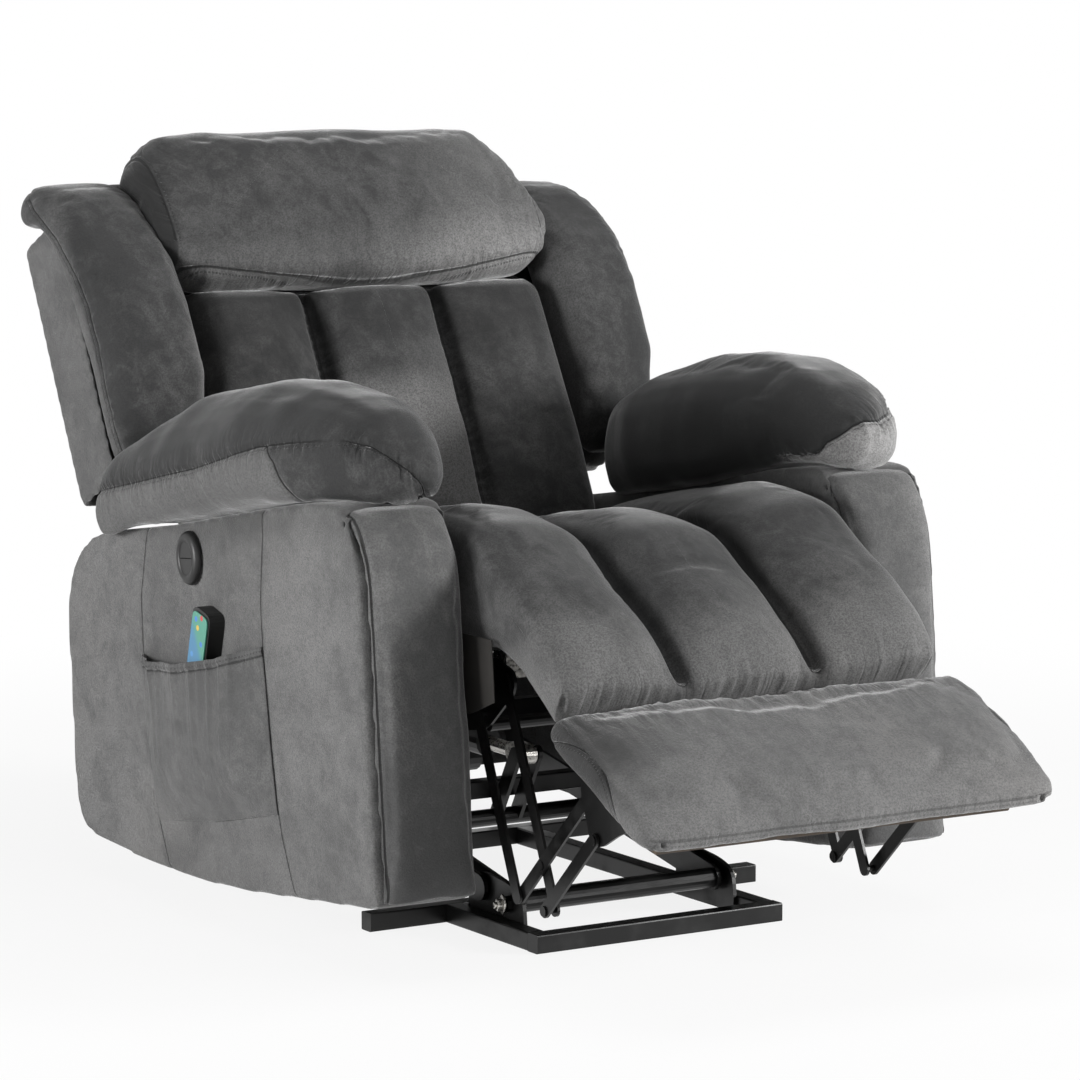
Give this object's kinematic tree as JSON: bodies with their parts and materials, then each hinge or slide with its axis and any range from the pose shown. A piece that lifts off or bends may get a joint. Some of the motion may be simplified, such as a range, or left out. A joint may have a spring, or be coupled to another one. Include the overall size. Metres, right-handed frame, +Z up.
{
  "type": "lift recliner chair",
  "caption": "Upholstered lift recliner chair: overstuffed arms, channelled back and seat, headrest, side pocket with handset, footrest linkage, powered lift base.",
  "frame": {"origin": "centre of the bounding box, on the floor", "axes": "+Z up, the chair's front faces -Y, +X is the viewer's right when facing its front; back partly reclined, footrest partly out, lift down"},
  "size_m": [0.98, 1.4879, 1.041],
  "materials": {
    "velvet": "matte",
    "side_velvet": "matte",
    "black_steel": "satin",
    "bright_steel": "satin",
    "plywood": "matte",
    "black_plastic": "satin",
    "spring_wire": "satin",
    "keypad_overlay": "satin"
  },
  "bodies": {
    "base": {"base_front_bar": "black_steel", "base_wide_bar": "black_steel", "base_rear_bar": "black_steel", "base_front_rail_left": "black_steel", "base_front_rail_right": "black_steel", "base_rear_rail_left": "black_steel", "base_rear_rail_right": "black_steel"},
    "lift_arms": {"lift_arm_front_left": "black_steel", "lift_arm_front_right": "black_steel", "lift_torsion_tube": "black_steel", "lift_drive_tube": "black_steel"},
    "rear_lift_arms": {"lift_arm_rear_left": "black_steel", "lift_arm_rear_right": "black_steel"},
    "chair": {"carriage_front_bar": "black_steel", "carriage_rear_bar": "black_steel", "side_plate_left": "black_steel", "side_plate_right": "black_steel", "mechanism_cross_tube": "black_steel", "seat_spring_deck": "spring_wire", "seat_cushion": "velvet", "arm_box_left": "side_velvet", "arm_box_right": "side_velvet", "arm_front_panel_left": "velvet", "arm_front_panel_right": "velvet", "arm_pad_left": "velvet", "arm_pad_right": "velvet", "arm_bracket_left": "black_steel", "arm_bracket_right": "black_steel", "rear_panel": "side_velvet", "side_pocket": "side_velvet", "switch_bezel": "black_plastic"},
    "actuator_housing": {"actuator_housing": "black_plastic"},
    "actuator_rod": {"actuator_rod": "bright_steel"},
    "footrest": {"footrest_bolster": "velvet", "footrest_board": "plywood", "footrest_bracket_left": "black_steel", "footrest_bracket_right": "black_steel", "footrest_cross_tube": "black_steel", "chaise_pad": "velvet"},
    "long_cranks": {"footrest_long_crank_left": "black_steel", "footrest_long_crank_right": "black_steel"},
    "short_cranks": {"footrest_short_crank_left": "black_steel", "footrest_short_crank_right": "black_steel"},
    "upper_couplers": {"footrest_upper_coupler_left": "black_steel", "footrest_upper_coupler_right": "black_steel"},
    "lower_couplers": {"footrest_lower_coupler_left": "black_steel", "footrest_lower_coupler_right": "black_steel"},
    "handset": {"handset_shell": "black_plastic", "handset_keypad": "keypad_overlay"},
    "button_up": {"switch_button_up": "black_plastic"},
    "button_down": {"switch_button_down": "black_plastic"},
    "back": {"back_shell": "side_velvet", "back_frame": "plywood", "back_cushion": "velvet", "headrest_pillow": "velvet", "back_wing_left": "velvet", "back_wing_right": "velvet", "back_bracket_left": "black_steel", "back_bracket_right": "black_steel"}
  },
  "joints": [
    {"name": "lift", "type": "hinge", "parent": "base", "child": "lift_arms", "pos_m": [0, -0.196, 0.045], "axis": [1, 0, 0], "range_deg": [0, 55]},
    {"name": "chair_tilt", "type": "hinge", "parent": "lift_arms", "child": "chair", "pos_m": [0, 0.089, 0.1], "axis": [1, 0, 0], "range_deg": [-30, 0]},
    {"name": "rear_arm", "type": "hinge", "parent": "base", "child": "rear_lift_arms", "pos_m": [0, -0.1297, 0.056], "axis": [1, 0, 0], "range_deg": [0, 47]},
    {"name": "actuator_swing", "type": "hinge", "parent": "chair", "child": "actuator_housing", "pos_m": [0, 0.329, 0.2], "axis": [1, 0, 0], "range_deg": [0, 6.5]},
    {"name": "actuator_stroke", "type": "slide", "parent": "actuator_housing", "child": "actuator_rod", "axis": [0, -0.9999, -0.0169], "range_m": [0, 0.0452]},
    {"name": "footrest_fold", "type": "hinge", "parent": "chair", "child": "footrest", "pos_m": [0, -0.422, 0.477], "axis": [-1, 0, 0], "range_deg": [-55, 30], "deforming": ["chaise_pad"]},
    {"name": "long_crank", "type": "hinge", "parent": "chair", "child": "long_cranks", "pos_m": [0, -0.307, 0.366], "axis": [-1, 0, 0], "range_deg": [-55, 30]},
    {"name": "short_crank", "type": "hinge", "parent": "chair", "child": "short_cranks", "pos_m": [0, -0.25525, 0.31605], "axis": [-1, 0, 0], "range_deg": [-55, 30]},
    {"name": "upper_coupler", "type": "hinge", "parent": "long_cranks", "child": "upper_couplers", "pos_m": [0, -0.404, 0.141], "axis": [-1, 0, 0], "range_deg": [-30, 55]},
    {"name": "lower_coupler", "type": "hinge", "parent": "long_cranks", "child": "lower_couplers", "pos_m": [0, -0.42728, 0.087], "axis": [-1, 0, 0], "range_deg": [-30, 55]},
    {"name": "back_recline", "type": "hinge", "parent": "chair", "child": "back", "pos_m": [0, 0.319, 0.33], "axis": [-1, 0, 0], "range_deg": [-12, 25]},
    {"name": "handset_lift", "type": "slide", "parent": "chair", "child": "handset", "axis": [0, -0.2472, 0.969], "range_m": [0, 0.12]},
    {"name": "press_up", "type": "slide", "parent": "chair", "child": "button_up", "axis": [1, 0, 0], "range_m": [0, 0.0015], "stiffness_N_per_m": 600},
    {"name": "press_down", "type": "slide", "parent": "chair", "child": "button_down", "axis": [1, 0, 0], "range_m": [0, 0.0015], "stiffness_N_per_m": 600}
  ],
  "couplings": [
    {"joint": "chair_tilt", "follows": "lift", "ratio": -0.54546},
    {"joint": "rear_arm", "follows": "lift", "ratio": 0.854},
    {"joint": "actuator_swing", "follows": "lift", "ratio": 0.11727},
    {"joint": "actuator_stroke", "follows": "lift", "m_per_rad": 0.046964},
    {"joint": "long_crank", "follows": "footrest_fold", "ratio": 1},
    {"joint": "short_crank", "follows": "footrest_fold", "ratio": 1},
    {"joint": "upper_coupler", "follows": "footrest_fold", "ratio": -1},
    {"joint": "lower_coupler", "follows": "footrest_fold", "ratio": -1}
  ]
}
